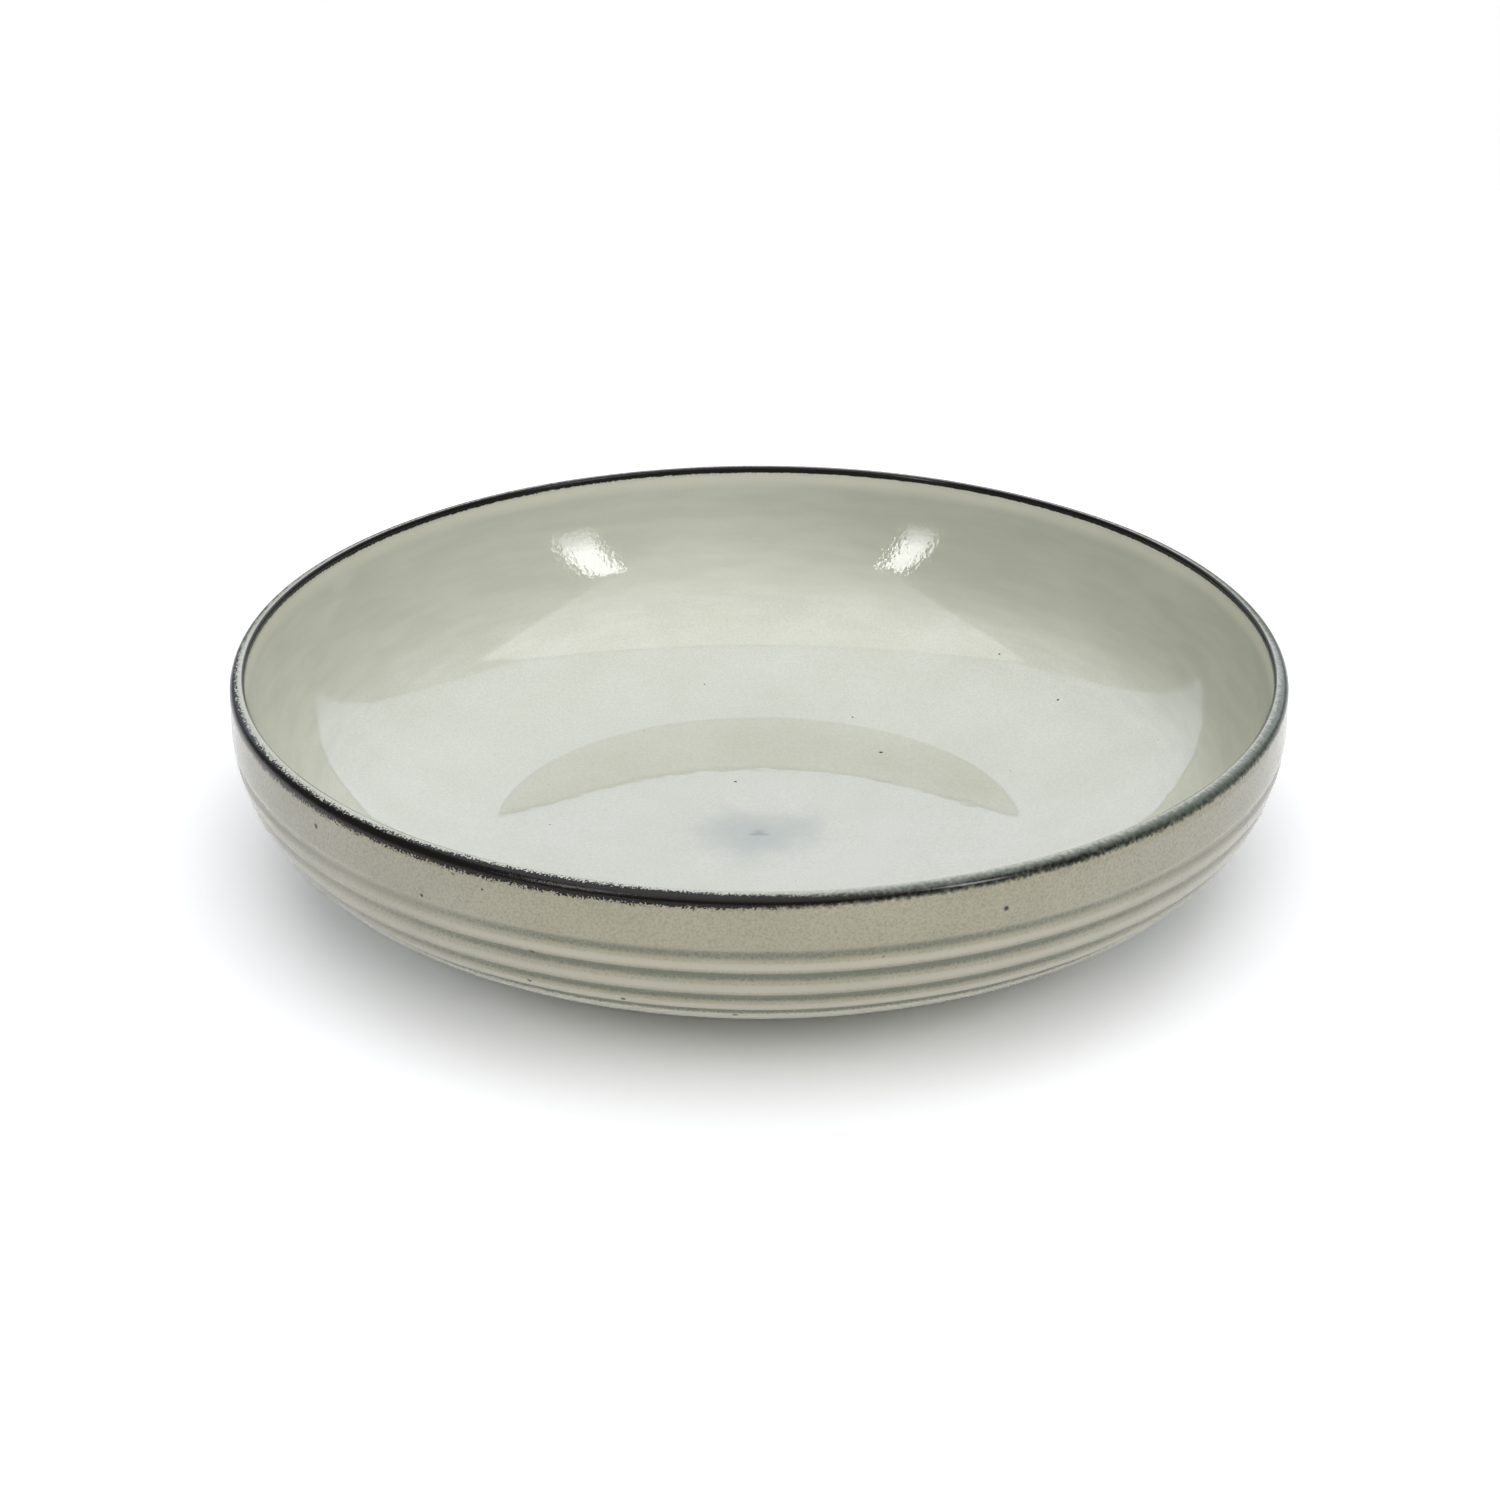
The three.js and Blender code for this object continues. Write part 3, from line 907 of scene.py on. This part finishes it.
# %% Grooves, specks and gloss outside
CREST_SHARE = 0.85
GROOVE_RAGGED = 0.3
GROOVE_FROM = 0.1
GROOVE_SHARE = 0.9
SPECKED_OUTSIDE = 1
SPECK_OUTSIDE = 1.2 * MM
OUTSIDE_PEEL_SIZE = 1.5 * MM
OUTSIDE_PEEL_HEIGHT = 0.02 * MM

wave = add(tree, "ShaderNodeAttribute", {}, attribute_name="throwing",
           attribute_type="GEOMETRY").node.outputs["Fac"]
thrown = add(tree, MATH, {0: wave, 1: clear}, **TIMES)
crest = add(tree, RANGE, {0: thrown, 1: 0, 2: -1, 4: CREST_SHARE}, **SMOOTH)
colour = add(tree, MIX, {FACTOR: crest, COLOUR_A: colour, COLOUR_B: linear("#CAC6B6")}, **COLOURS)
ragged = add(tree, RANGE, {0: grain, 1: NOISE_LOW, 2: NOISE_HIGH, 3: -GROOVE_RAGGED, 4: GROOVE_RAGGED})
groove = add(tree, MATH, {0: thrown, 1: ragged})
pool = add(tree, RANGE, {0: groove, 1: GROOVE_FROM, 2: 1, 4: GROOVE_SHARE}, **SMOOTH)
colour = add(tree, MIX, {FACTOR: pool, COLOUR_A: colour, COLOUR_B: linear("#6A7161")}, **COLOURS)
colour = iron_specks(tree, place, colour, SPECKED_OUTSIDE, SPECK_OUTSIDE)
black, green, _, _ = iron_at_lip(tree, place)
tree.links.new(iron_over(tree, colour, black, green), shader.inputs["Base Color"])
shader.inputs["Roughness"].default_value = 0.14
shader.inputs["IOR"].default_value = GLASS_INDEX
peel = add(tree, NOISE, {"Vector": place, "Scale": 1 / OUTSIDE_PEEL_SIZE, "Detail": 2})
bump = add(tree, BUMP, {"Height": peel, "Distance": OUTSIDE_PEEL_HEIGHT})
tree.links.new(bump, shader.inputs["Normal"])
print("outside glaze:", len(tree.nodes), "nodes")

# %% [markdown]
# ## Glaze on the lip
# The lip's coat is the same celadon with the iron showing through most of it. The outside colour gives way
# to the inside one as the lip turns over. Iron is rougher than clear glass, and on the left its grains
# stand up enough to glint.

# %% Lip glaze
OUTER_COLOUR_TO = RIM_RADIUS - 0.4 * MM
INNER_COLOUR_FROM = RIM_RADIUS - 1.2 * MM
CELADON_ROUGHNESS = 0.08
IRON_ROUGHNESS = 0.14
LIP_GRAIN_LEAST = 0.006
LIP_GRAIN_MOST = 0.085

lip_glaze, tree, shader, place = start_material("iron_lip_glaze")
outer, _ = celadon(tree, place, OUTSIDE_THIN, OUTSIDE_THICK, OUTSIDE_GRAIN)
inner, _ = celadon(tree, place, "#CED0C1", "#D4D6CA", INSIDE_GRAIN)
_, radius = from_axis(tree, place)
inwards = add(tree, RANGE, {0: radius, 1: OUTER_COLOUR_TO, 2: INNER_COLOUR_FROM})
colour = add(tree, MIX, {FACTOR: inwards, COLOUR_A: outer, COLOUR_B: inner}, **COLOURS)
black, green, grains, left = iron_at_lip(tree, place)
roughness = add(tree, RANGE, {0: black, 3: CELADON_ROUGHNESS, 4: IRON_ROUGHNESS}, **SMOOTH)
tree.links.new(iron_over(tree, colour, black, green), shader.inputs["Base Color"])
tree.links.new(roughness, shader.inputs["Roughness"])
shader.inputs["IOR"].default_value = GLASS_INDEX
shader.inputs["Specular IOR Level"].default_value = 0.25
grainy = add(tree, MATH, {0: black, 1: left}, **TIMES)
grain_height = add(tree, RANGE, {0: grainy, 3: LIP_GRAIN_LEAST, 4: LIP_GRAIN_MOST})
relief = add(tree, MATH, {0: grains, 1: grain_height}, **TIMES)
tree.links.new(add(tree, BUMP, {"Height": relief, "Distance": MM}), shader.inputs["Normal"])
print("lip glaze:", len(tree.nodes), "nodes")

# %% [markdown]
# ## Bare stoneware
# Fired stoneware is dense, matt and slightly sandy. It is a toasted grey-brown, flecked with darker grit.
# The real grit is finer, and is drawn as coarse as it needs to show.

# %% Stoneware
TOAST_SIZE = 15 * MM
GRIT_SIZE = 0.8 * MM
GRIT_HEIGHT = 0.15 * MM
FLECK_CORE = 0.12
FLECK_EDGE = 0.3
FLECK_SHARE = 0.55

stoneware, tree, shader, place = start_material("fired_stoneware")
clouds = add(tree, NOISE, {"Vector": place, "Scale": 1 / TOAST_SIZE, "Detail": 4})
colour = add(tree, MIX, {FACTOR: clouds, COLOUR_A: linear("#7E6A56"), COLOUR_B: linear("#907A62")},
             **COLOURS)
grit = add(tree, CELLS, {"Vector": place, "Scale": 1 / GRIT_SIZE})
fleck = add(tree, RANGE, {0: grit, 1: FLECK_CORE, 2: FLECK_EDGE, 3: FLECK_SHARE, 4: 0})
colour = add(tree, MIX, {FACTOR: fleck, COLOUR_A: colour, COLOUR_B: linear("#4A3B2E")}, **COLOURS)
tree.links.new(colour, shader.inputs["Base Color"])
shader.inputs["Roughness"].default_value = 0.85
tree.links.new(add(tree, BUMP, {"Height": grit, "Distance": GRIT_HEIGHT}), shader.inputs["Normal"])
print("stoneware:", len(tree.nodes), "nodes")

# %% [markdown]
# ## Dress the pieces
# Each piece takes its material, moves with the bowl's one body and stands for its solid in the frame. The
# record's finish that it shows is listed beside it but not used.

# %% Dress, ride and replace
dress = [
    (clay, stoneware, "stoneware_body", "fired_stoneware"),
    (inside_coat, inside_glaze, "inner_glaze", "celadon_inside"),
    (outside_coat, outside_glaze, "outer_glaze", "celadon_outside"),
    (lip_coat, lip_glaze, "rim_band", "iron_glaze"),
    (recess_coat, outside_glaze, "recess_glaze", "celadon_outside"),
]
for piece, material, node_name, slot_name in dress:
    piece.data.materials.clear()
    piece.data.materials.append(material)
    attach(piece, "root")
    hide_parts(node_name)
print("dressed", len(dress), "pieces")

# %% [markdown]
# ## Floor
# The bowl stands on a plain pale floor that fills the picture. Its shader keeps the lamps' light and the
# bowl's shadow. Seen by the camera or in a reflection it is a little paler, so that lit floor reads white,
# and from about half a metre away it turns to plain white without any shading.

# %% Floor
FLOOR_SIZE = 40
FLOOR_GREY = (0.93, 0.93, 0.93, 1)
FLOOR_SEEN = (1.3, 1.31, 1.355, 1)
WHITE_FROM = 0.45
WHITE_AT = 0.75

bpy.ops.object.select_all(action="DESELECT")
bpy.ops.mesh.primitive_plane_add(size=FLOOR_SIZE, location=(0, 0, 0))
floor = bpy.context.object
floor.name = "floor"
paper, tree, _, place = start_material("matt_white_paper")
rays = add(tree, "ShaderNodeLightPath", {}).node.outputs
direct = add(tree, MATH, {0: rays["Is Camera Ray"], 1: rays["Is Glossy Ray"]}, operation="MAXIMUM")
seen = add(tree, MATH, {0: direct, 1: rays["Is Transmission Ray"]}, operation="MAXIMUM")
shade = add(tree, MIX, {FACTOR: seen, COLOUR_A: FLOOR_GREY, COLOUR_B: FLOOR_SEEN}, **COLOURS)
matt = add(tree, "ShaderNodeBsdfDiffuse", {"Color": shade})
away = add(tree, VECTOR, {0: place}, **LENGTH)
far = add(tree, RANGE, {0: away, 1: WHITE_FROM, 2: WHITE_AT}, **SMOOTH)
far_seen = add(tree, MATH, {0: far, 1: seen}, **TIMES)
plain = add(tree, "ShaderNodeEmission", {"Color": WHITE})
sweep = add(tree, "ShaderNodeMixShader", {0: far_seen, 1: matt, 2: plain})
tree.links.new(sweep, tree.nodes["Material Output"].inputs["Surface"])
floor.data.materials.append(paper)
print("floor", FLOOR_SIZE, "m across, plain white from", WHITE_AT, "m")

# %% [markdown]
# ## Lamps
# The reflections in the bowl show how it was lit: a large soft box overhead, a wide, cool panel at the back
# and two tall strips to the left and right of the camera. What the glaze mirrors and what lights the bowl
# are set apart: a glint lamp shows only in reflections, and a fill lamp only lights. A lamp's brightness is
# its power divided by pi times its area, so each is set by how bright it looks. A fill lies a little behind
# its glint, because two lamps in one place lose part of their light. Strips and box fade towards one end.

# %% Helpers for lamps
def lamp(name, place, aim, width, height, brightness, glint):
    bpy.ops.object.light_add(type="AREA", location=place)
    light = bpy.context.object
    light.name = name
    light.data.shape = "RECTANGLE"
    light.data.size = width
    light.data.size_y = height
    light.data.energy = brightness * math.pi * width * height
    light.rotation_euler = (Vector(aim) - Vector(place)).to_track_quat("-Z", "Y").to_euler()
    light.visible_camera = False
    light.visible_glossy = glint
    light.visible_diffuse = not glint
    print(f"{name}: {width} by {height} m, {light.data.energy:.1f} W")
    return light


def around_bowl(degrees, away, height):
    angle = math.radians(degrees)
    return (away * math.sin(angle), -away * math.cos(angle), height)


def fade_lamp(light, full_at):
    light.data.use_nodes = True
    tree = light.data.node_tree
    spot = add(tree, "ShaderNodeNewGeometry", {}).node.outputs["Parametric"]
    along = add(tree, SPLIT, {0: spot}).node.outputs["Y"]
    fade = add(tree, RANGE, {0: along, 1: 0, 2: full_at})
    tree.links.new(fade, tree.nodes["Emission"].inputs["Strength"])


# %% [markdown]
# ## Strips and front
# The two strips show as short highlights high on the back wall. Three broad fills, to the left, in the
# middle and to the right, give the light from the front.

# %% Strips and front fills
STRIP_AWAY = 1.6
STRIP_HEIGHT = 1.24
STRIP_FULL_AT = 0.4
FRONT_AWAY = 2.2
FRONT_HEIGHT = 1.45

for degrees, strip_width in ((47.6, 0.29), (-41.5, 0.22)):
    strip = lamp("strip_glint", around_bowl(degrees, STRIP_AWAY, STRIP_HEIGHT), (0, 0, STRIP_HEIGHT),
                 width=strip_width, height=1.36, brightness=13, glint=True)
    fade_lamp(strip, STRIP_FULL_AT)
for degrees in (-60, 0, 60):
    lamp("front_fill", around_bowl(degrees, FRONT_AWAY, FRONT_HEIGHT), (0, 0, 0),
         width=1.6, height=0.8, brightness=1.43, glint=False)

# %% [markdown]
# ## Panel and box
# The floor mirrors the panel, and the panel's two sides show as edges on the side walls, which fixed its
# place and width. The box hangs over the bowl and the camera. The back wall mirrors it and grows darker
# towards the lip as the box fades.

# %% Panel and box
PAIR_GAP = 10 * MM
PANEL_AWAY = 1.5
PANEL_HEIGHT = 1.945
PANEL_ACROSS = -0.115
PANEL_FILL_ACROSS = 0.15
PANEL_TINT = (0.92, 1.0, 1.22)
BOX_ACROSS = 0.07
BOX_DEEP = -2.16
BOX_HEIGHT = 2.5
BOX_FULL_AT = 0.8

panel = lamp("back_panel_glint", (PANEL_ACROSS, PANEL_AWAY, PANEL_HEIGHT), (PANEL_ACROSS, 0, PANEL_HEIGHT),
             width=3.01, height=2.96, brightness=1.0, glint=True)
panel.data.color = PANEL_TINT
lamp("back_panel_fill", (PANEL_FILL_ACROSS, PANEL_AWAY + PAIR_GAP, PANEL_HEIGHT),
     (PANEL_FILL_ACROSS, 0, PANEL_HEIGHT), width=4.5, height=2.96, brightness=0.54, glint=False)
under_box = (BOX_ACROSS, BOX_DEEP, 0)
box = lamp("overhead_box_glint", (BOX_ACROSS, BOX_DEEP, BOX_HEIGHT), under_box,
           width=2.86, height=6.47, brightness=1.7, glint=True)
fade_lamp(box, BOX_FULL_AT)
lamp("overhead_box_fill", (BOX_ACROSS, BOX_DEEP, BOX_HEIGHT + PAIR_GAP), under_box,
     width=2.86, height=6.47, brightness=1.71, glint=False)

# %% [markdown]
# ## Room
# Around the lamps the glaze mirrors a dim, even grey room. Its own light is weak and comes mostly from the
# right. The camera sees plain white, as on a white sweep. Colours are shown without a film curve.

# %% World
ROOM_LEFT = 0
ROOM_RIGHT = 0.138
ROOM_SEEN = (0.225, 0.225, 0.225, 1)

world = bpy.data.worlds.new("studio")
bpy.context.scene.world = world
world.use_nodes = True
tree = world.node_tree
rays = add(tree, "ShaderNodeLightPath", {}).node.outputs
way = add(tree, "ShaderNodeTexCoord", {}).node.outputs["Generated"]
across = add(tree, SPLIT, {0: way}).node.outputs["X"]
fill = add(tree, RANGE, {0: across, 1: -1, 2: 1, 3: ROOM_LEFT, 4: ROOM_RIGHT})
dim = add(tree, MIX, {FACTOR: rays["Is Glossy Ray"], COLOUR_A: fill, COLOUR_B: ROOM_SEEN}, **COLOURS)
direct = add(tree, MATH, {0: rays["Is Camera Ray"], 1: rays["Is Transmission Ray"]}, operation="MAXIMUM")
studio = add(tree, MIX, {FACTOR: direct, COLOUR_A: dim, COLOUR_B: WHITE}, **COLOURS)
tree.links.new(studio, tree.nodes["Background"].inputs["Color"])
bpy.context.scene.view_settings.view_transform = "Standard"
print("world:", len(tree.nodes), "nodes")
